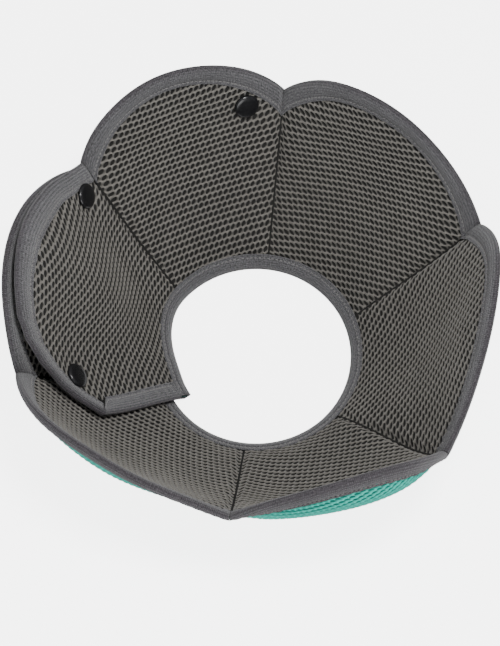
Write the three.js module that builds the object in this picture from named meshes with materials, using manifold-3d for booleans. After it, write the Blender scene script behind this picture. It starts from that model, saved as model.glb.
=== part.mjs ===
// A soft padded recovery collar: a strip of seven petal-shaped panels, closed into a cone round the neck.
// Millimetres, +Z up. The neck hem lies on z = 0, and the mouth opens upwards.

import * as THREE from 'three';
import Module from 'manifold-3d';
import { mergeVertices } from 'three/addons/utils/BufferGeometryUtils.js';

const wasm = await Module();
wasm.setup();

// Cone and petals
const NECK_RADIUS = 73;
const SEAM_SLANT = 134; // from the neck hem to the notch between two petals
const SEAM_FLARE = 46; // degrees from the vertical, of a seam
const PETAL_RISE = 50; // height of a petal's arc above the line between its notches
const HEM_LEAN = 46; // degrees from the vertical, of the first stretch above the hem
const HEM_RUN = 14; // length of that straight stretch

// Walls
const PANEL_THICK = 3.2; // one padded face in the middle of a petal
const EDGE_THICK = 1.1; // the same face where it is sewn flat
const LAYER_GAP = 0.4; // between the inner and the outer face
const PIECE_GAP = 0.7; // between any two neighbours
const SEAM_GAP = 0.7; // between two petals at their seam
const PUFF_RUN = 18; // distance over which the padding reaches its full thickness beside a tape
const SEAM_RUN = 14; // the same beside a seam

// Tapes
const TAPE_THICK = 1;
const RIM_TAPE_WIDTH = 11.5;
const HEM_TAPE_WIDTH = 9;
const MITRE_LIMIT = 1.3; // longest step across a tape, as a share of its width

// Overlap of the strip's two ends
const OVERLAP_GAP = 2; // between the walls of the lap and the under petal
const LAP_LIFT = 6; // how far the lap's free end stands off what it covers
const LAP_BOW = 18; // how far the lap bows inwards below its rim, which curls back out
const LAP_CURL = 8; // power of that curl: the higher, the nearer to the rim it is
const LAP_SOFTNESS = 0.16; // stretch of the strip over which the lap rounds off the ring's crease under it
const LAP_END = -1.24; // places along the strip, counted in petals from the lap's seam
const UNDER_END = 6.17;
const CORNER_TURN = 0.12; // stretch of the strip over which the rim's tape turns into a free end's

// Snaps
const CAP_RADIUS = 9.2;
const CAP_HEIGHT = 3;
const BACK_RADIUS = 8;
const BACK_HEIGHT = 1.8;
const POST_RADIUS = 2;
const POST_CLEARANCE = 0.4;

// Fineness of the faceted solids
const PETAL_COLUMNS = 9;
const COLUMN_EASE = 0.09; // draws the columns together beside the seams, where the rim turns fastest
const SNAP_SIDES = 12;
const PROBE_STEP = 0.01; // share of a petal, for slopes taken by small differences
const PROBE_LENGTH = 0.5;

// The six seams round the ring: azimuth in degrees, flare as a share of SEAM_FLARE, and the lean at the notch
const SEAMS = [
  { azimuth: 139.6, flare: 0.93, rimLean: 38 },
  { azimuth: 83.1, flare: 1.03, rimLean: 38 },
  { azimuth: 20.8, flare: 1.0, rimLean: 34 },
  { azimuth: -40.9, flare: 1.01, rimLean: 14 },
  { azimuth: -96.3, flare: 0.885, rimLean: 26 },
  { azimuth: -162.4, flare: 1.04, rimLean: 36 },
];

// The petal after each seam: degrees from the vertical in which its tip rises and in which its rim ends,
// and how far its tip lies past the petal's middle, as a share of the petal
const ARCS = [
  { tipLean: 24, rimLean: 12, skew: -0.04 },
  { tipLean: 17, rimLean: 10, skew: -0.03 },
  { tipLean: 20, rimLean: 22, skew: -0.07 },
  { tipLean: 17, rimLean: -22, skew: -0.04 },
  { tipLean: 34, rimLean: 2, skew: 0.09 },
  { tipLean: 22, rimLean: 10, skew: -0.03 },
];

// The strip's petals in order, with the stretch of the strip that each one takes
const PETALS = [
  { name: 'lap', from: LAP_END, to: 0, freeStart: true },
  { name: 'top_left', from: 0, to: 1 },
  { name: 'top_right', from: 1, to: 2 },
  { name: 'right', from: 2, to: 3 },
  { name: 'lower_right', from: 3, to: 4 },
  { name: 'lower_left', from: 4, to: 5 },
  { name: 'under', from: 5, to: UNDER_END, freeEnd: true },
];

// Rim of the lap, from its seam to its free end: slant as a share of SEAM_SLANT
const LAP_RIM = [
  { along: 0, slant: 1.0 },
  { along: 0.12, slant: 1.1 },
  { along: 0.25, slant: 1.2 },
  { along: 0.5, slant: 1.32 },
  { along: 0.75, slant: 1.3 },
  { along: 0.95, slant: 1.13 },
  { along: 1.1, slant: 0.92 },
  { along: 1.24, slant: 0.72 },
];
const UNDER_FALL = 0.6; // fall of the under petal's rim towards its end, a share of slant for each petal
const UNDER_RUN = 0.16; // how many petals before its last notch the fall begins

// Snaps: place along the strip, slant as a share of SEAM_SLANT, and the petals each one goes through
const SNAPS = [
  { along: 0.832, slant: 0.975, through: ['top_left'] },
  { along: -0.1, slant: 0.93, through: ['lap', 'under'] },
  { along: -1.03, slant: 0.81, through: ['lap', 'lower_left'] },
];

const INNER_MESH = new THREE.MeshStandardMaterial({ color: 0x6e6c64, roughness: 0.9, metalness: 0 });
const OUTER_MESH = new THREE.MeshStandardMaterial({ color: 0x2fae96, roughness: 0.85, metalness: 0 });
const TAPE = new THREE.MeshStandardMaterial({ color: 0x5a585c, roughness: 0.85, metalness: 0 });
const SNAP_PLASTIC = new THREE.MeshStandardMaterial({ color: 0x141416, roughness: 0.3, metalness: 0 });

const UP = new THREE.Vector3(0, 0, 1);
const HALF_EDGE_WALL = LAYER_GAP / 2 + EDGE_THICK;
const HALF_FULL_WALL = LAYER_GAP / 2 + PANEL_THICK;
const TAPE_INSIDE = HALF_EDGE_WALL + PIECE_GAP;
const TAPE_OUTSIDE = TAPE_INSIDE + TAPE_THICK;
const HEM_SIN = Math.sin(THREE.MathUtils.degToRad(HEM_LEAN));
const HEM_COS = Math.cos(THREE.MathUtils.degToRad(HEM_LEAN));
const HEM_HEIGHT = TAPE_INSIDE * HEM_SIN + TAPE_THICK;
const OVERLAP_STEP = 2 * HALF_FULL_WALL + OVERLAP_GAP;
const LAST = SEAMS.length - 1; // where the under petal starts

const lerp = THREE.MathUtils.lerp;
const clamp = THREE.MathUtils.clamp;

function smooth(share) {
  const s = clamp(share, 0, 1);
  return s * s * (3 - 2 * s);
}

function radial(degrees) {
  const angle = THREE.MathUtils.degToRad(degrees);
  return new THREE.Vector3(Math.cos(angle), Math.sin(angle), 0);
}

// Unit vector that leans outwards from the vertical by an angle
function leaning(degrees, outward) {
  const angle = THREE.MathUtils.degToRad(degrees);
  return outward.clone().multiplyScalar(Math.sin(angle)).addScaledVector(UP, Math.cos(angle));
}

// A seam of the strip; past the ring's end the azimuth goes on turning
function seam(index) {
  const turn = Math.floor(index / SEAMS.length);
  const row = SEAMS[index - turn * SEAMS.length];
  return { azimuth: row.azimuth - 360 * turn, flare: row.flare * SEAM_FLARE, rimLean: row.rimLean };
}

function notchPoint(index) {
  const { azimuth, flare } = seam(index);
  const outward = radial(azimuth);
  const hem = outward.clone().multiplyScalar(NECK_RADIUS).addScaledVector(UP, HEM_HEIGHT);
  return hem.addScaledVector(leaning(flare, outward), SEAM_SLANT);
}

// Height of a round arc over its chord, for a place from 0 to 1 along the chord
function arcHeight(place, chord) {
  const half = chord / 2;
  const radius = (half * half + PETAL_RISE * PETAL_RISE) / (2 * PETAL_RISE);
  const across = (2 * place - 1) * half;
  return Math.sqrt(radius * radius - across * across) - (radius - PETAL_RISE);
}

// The curve of the wall from the hem to the rim at one place along the strip
function generator(along) {
  const index = Math.floor(along);
  const place = along - index;
  const before = seam(index);
  const after = seam(index + 1);
  const arc = ARCS[((index % ARCS.length) + ARCS.length) % ARCS.length];
  const outward = radial(lerp(before.azimuth, after.azimuth, place));
  const start = notchPoint(index);
  const end = notchPoint(index + 1);
  const height = arcHeight(place - arc.skew * Math.sin(Math.PI * place), start.distanceTo(end));
  const tipward = leaning(arc.tipLean, radial((before.azimuth + after.azimuth) / 2));
  const rim = start.clone().lerp(end, place).addScaledVector(tipward, height);
  const hem = outward.clone().multiplyScalar(NECK_RADIUS).addScaledVector(UP, HEM_HEIGHT);
  const first = hem.clone().addScaledVector(leaning(HEM_LEAN, outward), HEM_RUN);
  const reach = first.distanceTo(rim);
  const seamLean = lerp(before.rimLean, after.rimLean, place);
  const rimLean = lerp(seamLean, arc.rimLean, height / PETAL_RISE);
  const second = first.clone().addScaledVector(leaning(HEM_LEAN, outward), 0.35 * reach);
  const third = rim.clone().addScaledVector(leaning(rimLean, outward), -0.4 * reach);
  const polygon = first.distanceTo(second) + second.distanceTo(third) + third.distanceTo(rim);
  return { outward, hem, first, second, third, rim, rimLean, length: HEM_RUN + (reach + polygon) / 2 };
}

// Slant of the lap's rim, as a share of SEAM_SLANT, at a number of petals from its seam
const lapRim = new THREE.SplineCurve(LAP_RIM.map((row) => new THREE.Vector2(row.along, row.slant)));

function lapRimShare(place) {
  let low = 0;
  let high = 1;
  for (let i = 0; i < 24; i += 1) {
    const middle = (low + high) / 2;
    if (lapRim.getPoint(middle).x < place) low = middle;
    else high = middle;
  }
  return lapRim.getPoint((low + high) / 2).y;
}

// How far the lap bows inwards: most in its middle, and least at its hem, its rim and both its snaps
function lapBow(along, slant) {
  if (along >= 0) return 0;
  const rise = slant / (SEAM_SLANT * lapRimShare(-along));
  const across = Math.sin(Math.PI * clamp(-along, 0, 1));
  return LAP_BOW * across * across * smooth(1.6 * rise) * (1 - rise ** LAP_CURL);
}

// Level shift of the strip's overlapping ends: the lap inwards, the under petal outwards
function overlapShift(along, slant, rimLean) {
  const lean = lerp(HEM_LEAN, rimLean, clamp((slant - HEM_RUN) / SEAM_SLANT, 0, 1));
  const step = OVERLAP_STEP / Math.cos(THREE.MathUtils.degToRad(lean));
  if (along > LAST) return step * smooth(along - LAST);
  const lift = LAP_LIFT * smooth((-along - 0.45) / 0.7) * clamp(slant / SEAM_SLANT, 0, 1);
  return -step * smooth(-along) - lift - lapBow(along, slant);
}

// The ring's wall, at a place along the strip and a slant distance from the hem
function ringPoint(along, slant) {
  const curve = generator(along);
  const point = new THREE.Vector3();
  if (slant <= HEM_RUN) {
    point.copy(curve.hem).addScaledVector(leaning(HEM_LEAN, curve.outward), slant);
  } else {
    const t = (slant - HEM_RUN) / (curve.length - HEM_RUN);
    const s = 1 - t;
    point.addScaledVector(curve.first, s * s * s);
    point.addScaledVector(curve.second, 3 * s * s * t);
    point.addScaledVector(curve.third, 3 * s * t * t);
    point.addScaledVector(curve.rim, t * t * t);
  }
  return point;
}

// Middle of the wall: the ring's, softened under the lap's end, and moved apart where the ends overlap
function sheet(along, slant) {
  const { outward, rimLean } = generator(along);
  const soft = LAP_SOFTNESS * smooth((-along - 0.6) / 0.3) * clamp(slant / SEAM_SLANT, 0, 1);
  const point = new THREE.Vector3();
  for (const [shift, weight] of [[-1, 1], [-0.5, 2], [0, 3], [0.5, 2], [1, 1]]) {
    point.addScaledVector(ringPoint(along + shift * soft, slant), weight / 9);
  }
  return point.addScaledVector(outward, overlapShift(along, slant, rimLean));
}

function slopeAlong(along, slant) {
  const ahead = sheet(along + PROBE_STEP, slant);
  return ahead.sub(sheet(along - PROBE_STEP, slant)).divideScalar(2 * PROBE_STEP);
}

function slopeUp(along, slant) {
  const above = sheet(along, slant + PROBE_LENGTH);
  return above.sub(sheet(along, slant - PROBE_LENGTH)).divideScalar(2 * PROBE_LENGTH);
}

// Unit normal of the wall, pointing outwards; both sides of a seam share the seam's own
function normal(along, slant) {
  const nearest = Math.round(along);
  const place = Math.abs(along - nearest) < PROBE_STEP ? nearest : along;
  return slopeUp(place, slant).cross(slopeAlong(place, slant)).normalize();
}

function offsetPoint(along, slant, depth) {
  return sheet(along, slant).addScaledVector(normal(along, slant), depth);
}

// Slant of the rim along the whole strip
function rimSlant(along) {
  if (along < 0) return SEAM_SLANT * lapRimShare(-along);
  const past = along - SEAMS.length;
  if (past > 0) return SEAM_SLANT * (1 - UNDER_FALL * (past + UNDER_RUN));
  const fall = UNDER_FALL * UNDER_RUN * smooth(1 + past / 0.6);
  return generator(along).length - SEAM_SLANT * fall;
}

function rimPoint(along) {
  return sheet(along, rimSlant(along));
}

function rimTangent(petal, along) {
  const before = Math.max(along - PROBE_STEP, petal.from);
  const after = Math.min(along + PROBE_STEP, petal.to);
  return rimPoint(after).sub(rimPoint(before)).normalize();
}

// How far to go down a generator for one millimetre square to the rim
function rimStretch(petal, along) {
  const down = slopeUp(along, rimSlant(along)).normalize();
  return Math.min(1 / down.cross(rimTangent(petal, along)).length(), MITRE_LIMIT);
}

// Closed solid from triangles, with its faces turned outwards
function closedGeometry(points, triangles) {
  let volume = 0;
  for (const [a, b, c] of triangles) {
    volume += points[a].dot(points[b].clone().cross(points[c])) / 6;
  }
  const faces = volume > 0 ? triangles : triangles.map(([a, b, c]) => [a, c, b]);
  const geometry = new THREE.BufferGeometry();
  geometry.setAttribute('position', new THREE.Float32BufferAttribute(points.flatMap((p) => p.toArray()), 3));
  geometry.setIndex(faces.flat());
  geometry.computeVertexNormals();
  return geometry;
}

// Slab between two grids of points, given column by column
function slab(lowGrid, highGrid) {
  const columns = lowGrid.length;
  const rows = lowGrid[0].length;
  const points = [...lowGrid.flat(), ...highGrid.flat()];
  const low = (i, j) => i * rows + j;
  const high = (i, j) => columns * rows + low(i, j);
  const triangles = [];
  const quad = (a, b, c, d) => triangles.push([a, b, c], [a, c, d]);
  for (let i = 0; i + 1 < columns; i += 1) {
    for (let j = 0; j + 1 < rows; j += 1) {
      quad(low(i, j), low(i, j + 1), low(i + 1, j + 1), low(i + 1, j));
      quad(high(i, j), high(i + 1, j), high(i + 1, j + 1), high(i, j + 1));
    }
    quad(low(i, 0), low(i + 1, 0), high(i + 1, 0), high(i, 0));
    quad(low(i + 1, rows - 1), low(i, rows - 1), high(i, rows - 1), high(i + 1, rows - 1));
  }
  for (let j = 0; j + 1 < rows; j += 1) {
    quad(low(0, j + 1), low(0, j), high(0, j), high(0, j + 1));
    quad(low(columns - 1, j), low(columns - 1, j + 1), high(columns - 1, j + 1), high(columns - 1, j));
  }
  return closedGeometry(points, triangles);
}

// Bar with the same closed section at each station, and flat ends. The section's two halves are split
// into triangles as the panels beside them are, and edgeFirst says that the first half starts at the rim.
function sweep(rings, section, edgeFirst) {
  const count = section.length;
  const points = rings.flat();
  const triangles = [];
  for (let i = 0; i + 1 < rings.length; i += 1) {
    for (let j = 0; j < count; j += 1) {
      const next = (j + 1) % count;
      const a = i * count + j;
      const b = i * count + next;
      if ((j < count / 2) === edgeFirst) triangles.push([a, b, a + count], [b, b + count, a + count]);
      else triangles.push([a, b, b + count], [a, b + count, a + count]);
    }
  }
  const last = (rings.length - 1) * count;
  for (const face of THREE.ShapeUtils.triangulateShape(section, [])) {
    const [a, b, c] = THREE.ShapeUtils.isClockWise(section) ? face : face.reverse();
    triangles.push([a, b, c], [last + a, last + c, last + b]);
  }
  return closedGeometry(points, triangles);
}

// Whole-petal columns, the same in each petal, so that overlapping petals have matching facets
function evenPlaces(first) {
  const places = [];
  for (let i = 0; i <= PETAL_COLUMNS; i += 1) {
    const even = i / PETAL_COLUMNS;
    places.push(first + even - COLUMN_EASE * Math.sin(2 * Math.PI * even));
  }
  return places;
}

// Place along the strip at a distance in millimetres from a free end
function fromEnd(end, distance, slant) {
  return end + distance / slopeAlong(end, slant).length();
}

// A petal's columns at one slant; a free end has one under the edge of its tape, and a seam keeps its gap
function columnPlaces(petal, slant) {
  const tape = RIM_TAPE_WIDTH + PIECE_GAP;
  if (petal.freeStart) {
    const inside = fromEnd(petal.from, tape, slant);
    const places = [petal.from, inside, (inside - 1) / 2, ...evenPlaces(-1)];
    places[places.length - 1] = fromEnd(petal.to, -SEAM_GAP / 2, slant);
    return places;
  }
  const places = evenPlaces(petal.from);
  places[0] = fromEnd(petal.from, SEAM_GAP / 2, slant);
  if (petal.freeEnd) {
    places.push(fromEnd(petal.to, -tape, slant), petal.to);
  } else {
    places[PETAL_COLUMNS] = fromEnd(petal.to, -SEAM_GAP / 2, slant);
  }
  return places;
}

// Where each column meets the rim
function rimPlaces(petal) {
  const count = columnPlaces(petal, SEAM_SLANT).length;
  return Array.from({ length: count }, (_, column) => {
    let slant = SEAM_SLANT;
    for (let i = 0; i < 6; i += 1) slant = rimSlant(columnPlaces(petal, slant)[column]);
    return columnPlaces(petal, slant)[column];
  });
}

// Distance from a free end of the strip, or from a seam, beyond which the padding may rise
function endDistance(along, slant, end, isFree) {
  const distance = Math.abs(along - end) * slopeAlong(end, slant).length();
  return isFree ? distance - RIM_TAPE_WIDTH - PIECE_GAP : distance;
}

function faceThickness(petal, along, slant) {
  const rimDistance = (rimSlant(along) - slant) / rimStretch(petal, along) - RIM_TAPE_WIDTH - PIECE_GAP;
  const hemDistance = slant - HEM_TAPE_WIDTH - PIECE_GAP;
  const start = endDistance(along, slant, petal.from, petal.freeStart);
  const end = endDistance(along, slant, petal.to, petal.freeEnd);
  const puff = smooth(rimDistance / PUFF_RUN) * smooth(hemDistance / PUFF_RUN)
    * smooth(start / (petal.freeStart ? PUFF_RUN : SEAM_RUN))
    * smooth(end / (petal.freeEnd ? PUFF_RUN : SEAM_RUN));
  return lerp(EDGE_THICK, PANEL_THICK, puff);
}

// Slants of a column's points, from the hem to the rim
function rowSlants(petal, along) {
  const rim = rimSlant(along);
  const low = HEM_TAPE_WIDTH + PIECE_GAP;
  const high = rim - (RIM_TAPE_WIDTH + PIECE_GAP) * rimStretch(petal, along);
  const run = Math.min(PUFF_RUN, 0.3 * (high - low));
  const middle = [0.33, 0.67].map((share) => lerp(low + run, high - run, share));
  return [0, low, low + run / 2, low + run, ...middle, high - run, high - run / 2, high, rim];
}

function panelGeometry(petal, side) {
  const near = [];
  const far = [];
  rimPlaces(petal).forEach((rimPlace, column) => {
    const places = rowSlants(petal, rimPlace).map((slant) => {
      return { slant, along: columnPlaces(petal, slant)[column] };
    });
    const layer = (depth) => places.map(({ along, slant }) => {
      return offsetPoint(along, slant, side * (LAYER_GAP / 2 + depth(along, slant)));
    });
    near.push(layer(() => 0));
    far.push(layer((along, slant) => faceThickness(petal, along, slant)));
  });
  return slab(near, far);
}

// Section of the rim's tape: x goes from the rim into the panel, y across the wall
function rimTapeSection() {
  const half = [
    [RIM_TAPE_WIDTH, TAPE_INSIDE],
    [RIM_TAPE_WIDTH, TAPE_OUTSIDE - 0.35 * TAPE_THICK],
    [0.75 * RIM_TAPE_WIDTH, TAPE_OUTSIDE],
    [0.05 * RIM_TAPE_WIDTH, TAPE_OUTSIDE],
    [-PIECE_GAP - 0.8 * TAPE_THICK, TAPE_INSIDE - 0.2 * TAPE_THICK],
  ];
  const inner = [-PIECE_GAP, TAPE_INSIDE];
  const mirrored = half.map(([x, y]) => [x, -y]).reverse();
  const outline = [inner, ...half, ...mirrored, [inner[0], -inner[1]]];
  return outline.map(([x, y]) => new THREE.Vector2(x, y));
}

// One step into the panel, square to the tape's path, as shares of the strip and of the slant
function inwardStep(here) {
  const across = slopeAlong(here.along, here.slant);
  const upward = slopeUp(here.along, here.slant);
  const along = Math.sin(here.turn) / across.length();
  const slant = -Math.cos(here.turn) / upward.length();
  const move = across.multiplyScalar(along).addScaledVector(upward, slant);
  const reach = Math.max(move.clone().cross(here.tangent).length(), move.length() / MITRE_LIMIT);
  return { along: along / reach, slant: slant / reach };
}

// Path of a petal's tape: along the rim, and down a free end; turn says which way is into the panel
function tapePath(petal) {
  const sign = petal.freeStart ? 1 : -1;
  const end = petal.freeStart ? petal.from : petal.to;
  const isFree = Boolean(petal.freeStart || petal.freeEnd);
  const rim = rimPlaces(petal).map((along) => {
    const slant = rimSlant(along);
    const nearness = 1 - Math.abs(along - end) / CORNER_TURN;
    const tangent = rimTangent(petal, along);
    return { along, slant, tangent, turn: isFree ? sign * Math.PI / 4 * clamp(nearness, 0, 1) : 0 };
  });
  if (!isFree) return rim;
  const corner = rim[petal.freeStart ? 0 : rim.length - 1];
  corner.tangent.addScaledVector(slopeUp(end, corner.slant).normalize(), sign).normalize();
  const edge = rowSlants(petal, end).slice(1, -2).map((slant) => {
    return { along: end, slant, tangent: slopeUp(end, slant).normalize(), turn: sign * Math.PI / 2 };
  });
  edge[0].slant += PIECE_GAP;
  return petal.freeStart ? [...edge, ...rim] : [...rim, ...edge.reverse()];
}

function rimTapeGeometry(petal) {
  const section = rimTapeSection();
  const rings = tapePath(petal).map((here) => {
    const step = inwardStep(here);
    return section.map(({ x, y }) => offsetPoint(here.along + x * step.along, here.slant + x * step.slant, y));
  });
  return sweep(rings, section, true);
}

// The hem's tape: folded round the hem and pressed flat where it rests
function hemTapeGeometry() {
  const place = (slant, depth) => new THREE.Vector2(
    NECK_RADIUS + slant * HEM_SIN + depth * HEM_COS,
    HEM_HEIGHT + slant * HEM_COS - depth * HEM_SIN,
  );
  const foot = place(0, 0).x;
  const section = [
    place(-PIECE_GAP, TAPE_INSIDE),
    place(HEM_TAPE_WIDTH, TAPE_INSIDE),
    place(HEM_TAPE_WIDTH, TAPE_OUTSIDE),
    place(TAPE_THICK, TAPE_OUTSIDE),
    new THREE.Vector2(foot + 0.8 * TAPE_OUTSIDE, 0),
    new THREE.Vector2(foot - TAPE_OUTSIDE, 0),
    place(0, -TAPE_OUTSIDE),
    place(HEM_TAPE_WIDTH, -TAPE_OUTSIDE),
    place(HEM_TAPE_WIDTH, -TAPE_INSIDE),
    place(-PIECE_GAP, -TAPE_INSIDE),
  ];
  const stations = [];
  for (const petal of PETALS) stations.push(...columnPlaces(petal, 0));
  const rings = stations.map((along) => {
    const { outward, rimLean } = generator(along);
    const shift = overlapShift(along, 0, rimLean);
    return section.map(({ x, y }) => outward.clone().multiplyScalar(x + shift).setZ(y));
  });
  return sweep(rings, section, false);
}

function toManifold(geometry) {
  const bare = geometry.clone();
  bare.deleteAttribute('normal');
  bare.deleteAttribute('uv');
  const merged = mergeVertices(bare, 1e-4);
  return new wasm.Manifold(new wasm.Mesh({
    numProp: 3,
    vertProperties: new Float32Array(merged.attributes.position.array),
    triVerts: new Uint32Array(merged.index.array),
  }));
}

function fromManifold(solid) {
  const mesh = solid.getMesh();
  const geometry = new THREE.BufferGeometry();
  geometry.setAttribute('position', new THREE.Float32BufferAttribute(mesh.vertProperties, 3));
  geometry.setIndex(Array.from(mesh.triVerts));
  geometry.computeVertexNormals();
  return geometry;
}

// A round solid whose axis runs from a point in a direction; the profile gives radius and distance
function turned(profile, origin, axis) {
  const geometry = new THREE.LatheGeometry(profile.map(([r, h]) => new THREE.Vector2(r, h)), SNAP_SIDES);
  const turn = new THREE.Quaternion().setFromUnitVectors(new THREE.Vector3(0, 1, 0), axis);
  geometry.applyQuaternion(turn);
  geometry.translate(origin.x, origin.y, origin.z);
  return geometry;
}

// Distances along an axis at which the first and the last face of some meshes are met, round a disc on it
function faceDistances(meshes, origin, axis, discRadius) {
  const side = new THREE.Vector3().crossVectors(axis, UP).normalize();
  const other = new THREE.Vector3().crossVectors(axis, side);
  const back = axis.clone().negate();
  const caster = new THREE.Raycaster();
  const nearest = (start, direction) => {
    caster.set(start.clone().addScaledVector(direction, -PETAL_RISE), direction);
    return Math.min(...meshes.flatMap((mesh) => caster.intersectObject(mesh)).map((hit) => hit.distance));
  };
  let near = Infinity;
  let far = -Infinity;
  for (let i = 0; i < 3 * SNAP_SIDES; i += 1) {
    const angle = 2 * Math.PI * i / SNAP_SIDES;
    const radius = discRadius * (1 - 0.3 * Math.floor(i / SNAP_SIDES));
    const start = origin.clone().addScaledVector(side, radius * Math.cos(angle));
    start.addScaledVector(other, radius * Math.sin(angle));
    near = Math.min(near, nearest(start, axis) - PETAL_RISE);
    far = Math.max(far, PETAL_RISE - nearest(start, back));
  }
  return { near, far };
}

function capProfile(seat, end) {
  return [
    [0, seat - CAP_HEIGHT],
    [0.5 * CAP_RADIUS, seat - 0.95 * CAP_HEIGHT],
    [0.86 * CAP_RADIUS, seat - 0.72 * CAP_HEIGHT],
    [CAP_RADIUS, seat - 0.3 * CAP_HEIGHT],
    [CAP_RADIUS, seat],
    [POST_RADIUS, seat],
    [POST_RADIUS, end],
    [0, end],
  ];
}

function backProfile(seat) {
  return [
    [0, seat],
    [BACK_RADIUS, seat],
    [BACK_RADIUS, seat + 0.5 * BACK_HEIGHT],
    [0.75 * BACK_RADIUS, seat + 0.9 * BACK_HEIGHT],
    [0, seat + BACK_HEIGHT],
  ];
}

const collar = new THREE.Group();
const panels = {};

function addMesh(name, geometry, material) {
  const mesh = new THREE.Mesh(geometry, material);
  mesh.name = name;
  collar.add(mesh);
  return mesh;
}

for (const petal of PETALS) {
  const inner = addMesh(`inner_panel_${petal.name}`, panelGeometry(petal, -1), INNER_MESH);
  const outer = addMesh(`outer_panel_${petal.name}`, panelGeometry(petal, 1), OUTER_MESH);
  panels[petal.name] = [inner, outer];
  addMesh(`rim_binding_${petal.name}`, rimTapeGeometry(petal), TAPE);
}
addMesh('neck_binding', hemTapeGeometry(), TAPE);

SNAPS.forEach((snap, index) => {
  const slant = snap.slant * SEAM_SLANT;
  const origin = sheet(snap.along, slant);
  const axis = normal(snap.along, slant);
  const pierced = snap.through.flatMap((name) => panels[name]);
  const capSeat = faceDistances(pierced, origin, axis, CAP_RADIUS).near - PIECE_GAP;
  const backSeat = faceDistances(pierced, origin, axis, BACK_RADIUS).far + PIECE_GAP;
  const hole = POST_RADIUS + POST_CLEARANCE;
  const bore = [[0, capSeat], [hole, capSeat], [hole, backSeat], [0, backSeat]];
  const cutter = toManifold(turned(bore, origin, axis));
  for (const mesh of pierced) {
    mesh.geometry = fromManifold(toManifold(mesh.geometry).subtract(cutter));
  }
  addMesh(`snap_cap_${index + 1}`, turned(capProfile(capSeat, backSeat - PIECE_GAP), origin, axis), SNAP_PLASTIC);
  addMesh(`snap_back_${index + 1}`, turned(backProfile(backSeat), origin, axis), SNAP_PLASTIC);
});

// The middle of the collar's box stands over the origin
const middle = new THREE.Box3().setFromObject(collar).getCenter(new THREE.Vector3());
for (const mesh of collar.children) mesh.geometry.translate(-middle.x, -middle.y, 0);

export default collar;
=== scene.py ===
"""Looks of a soft padded recovery collar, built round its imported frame. Sizes are in millimetres."""
import math

import bpy
import numpy as np
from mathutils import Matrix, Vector


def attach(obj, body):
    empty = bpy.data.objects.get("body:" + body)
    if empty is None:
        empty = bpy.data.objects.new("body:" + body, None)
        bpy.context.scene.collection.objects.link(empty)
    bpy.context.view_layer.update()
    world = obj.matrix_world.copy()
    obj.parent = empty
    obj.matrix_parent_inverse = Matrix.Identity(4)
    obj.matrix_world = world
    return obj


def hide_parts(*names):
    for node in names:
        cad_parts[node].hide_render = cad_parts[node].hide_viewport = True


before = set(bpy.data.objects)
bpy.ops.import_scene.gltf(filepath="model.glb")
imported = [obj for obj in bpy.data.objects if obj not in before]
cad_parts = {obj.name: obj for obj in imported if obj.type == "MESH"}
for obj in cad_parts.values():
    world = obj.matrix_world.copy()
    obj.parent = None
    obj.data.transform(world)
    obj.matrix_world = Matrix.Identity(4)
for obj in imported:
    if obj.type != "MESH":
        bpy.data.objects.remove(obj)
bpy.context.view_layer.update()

MM = 0.001

# Cone and petals, as in the part's source
CENTRE = np.array([-2.9413, 5.5184, 0.0])  # middle of the collar's box, which stands over the origin
NECK_RADIUS = 73
SEAM_SLANT = 134
SEAM_FLARE = 46
PETAL_RISE = 50
HEM_LEAN = 46
HEM_RUN = 14

# Walls and tapes, as in the part's source
PANEL_THICK = 3.2
EDGE_THICK = 1.1
LAYER_GAP = 0.4
PIECE_GAP = 0.7
PUFF_RUN = 18
TAPE_THICK = 1.0
HEM_TAPE_WIDTH = 9
MITRE_LIMIT = 1.3
OVERLAP_GAP = 2
LAP_LIFT = 6
LAP_BOW = 18
LAP_CURL = 8
LAP_SOFTNESS = 0.16
LAP_END = -1.24
UNDER_END = 6.17
UNDER_FALL = 0.6
UNDER_RUN = 0.16

# Walls and tapes where the looks differ from the part's source: a wider, rounder tape and tighter seams
RIM_TAPE_WIDTH = 12.3
TAPE_ROLL = 3.3  # half thickness of the tape's round roll
SEAM_RUN = 7
VALLEY_DEPTH = 2.2  # to which a seam's stitches pull a face down
VALLEY_RUN = 3.0
PUCKER = 0.3  # height of the small folds beside a seam
RIM_GATHER = 0.18  # height of the mesh's small folds beside the tape
TUCK = 0.25  # by which the tape's edge presses the mesh down

# Snaps
CAP_RADIUS = 9.2
CAP_HEIGHT = 3
BACK_RADIUS = 8
BACK_HEIGHT = 1.8
POST_RADIUS = 2
SNAP_SIDES = 64
DENT_DEPTH = 1.1
DENT_RUN = 9

# Air mesh: a net of four-sided cells, each with one hole
CELL_LONG = 4.2  # along the cloth's rows
CELL_HIGH = 4.9  # from one row to the next
CELL_SLIP = -0.45  # by which each row lies beside the last
HOLE_LONG = 0.385  # half of a hole, as a share of its cell along the rows
HOLE_HIGH = 0.35  # the same across the rows
HOLE_STRETCH = 1.5  # of a hole along its cell's longer diagonal
MESH_DEPTH = 1.3
KNOT_RISE = 0.75  # of the strands where they cross
ROW_RISE = 0.35  # of the strands along a row
CROSS_RISE = -0.1  # of the strands between two rows
HOLE_SINK = 0.45  # of the strands' edges round a hole
SPREAD_UNDER_TAPE = 4
NET_GAP = 1.4  # between two petals' nets, where a seam pulls them down
NET_HEIGHT = 90  # slant of the net's own origin

# Each petal's cloth: degrees from the hem to its rows in the petal's middle, and which way its holes slant
GRAIN = {
    "lap": (-27, 1), "top_left": (0, 1), "top_right": (25, -1), "right": (-40, 1),
    "lower_right": (-30, 1), "lower_left": (25, 1), "under": (12, 1),
}

# Stitches
STITCH_PITCH = 3.2
STITCH_LENGTH = 2.4
STITCH_RADIUS = 0.3
STITCH_INSET = 2.8

PROBE_ALONG = 0.03
PROBE_LENGTH = 0.5

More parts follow.
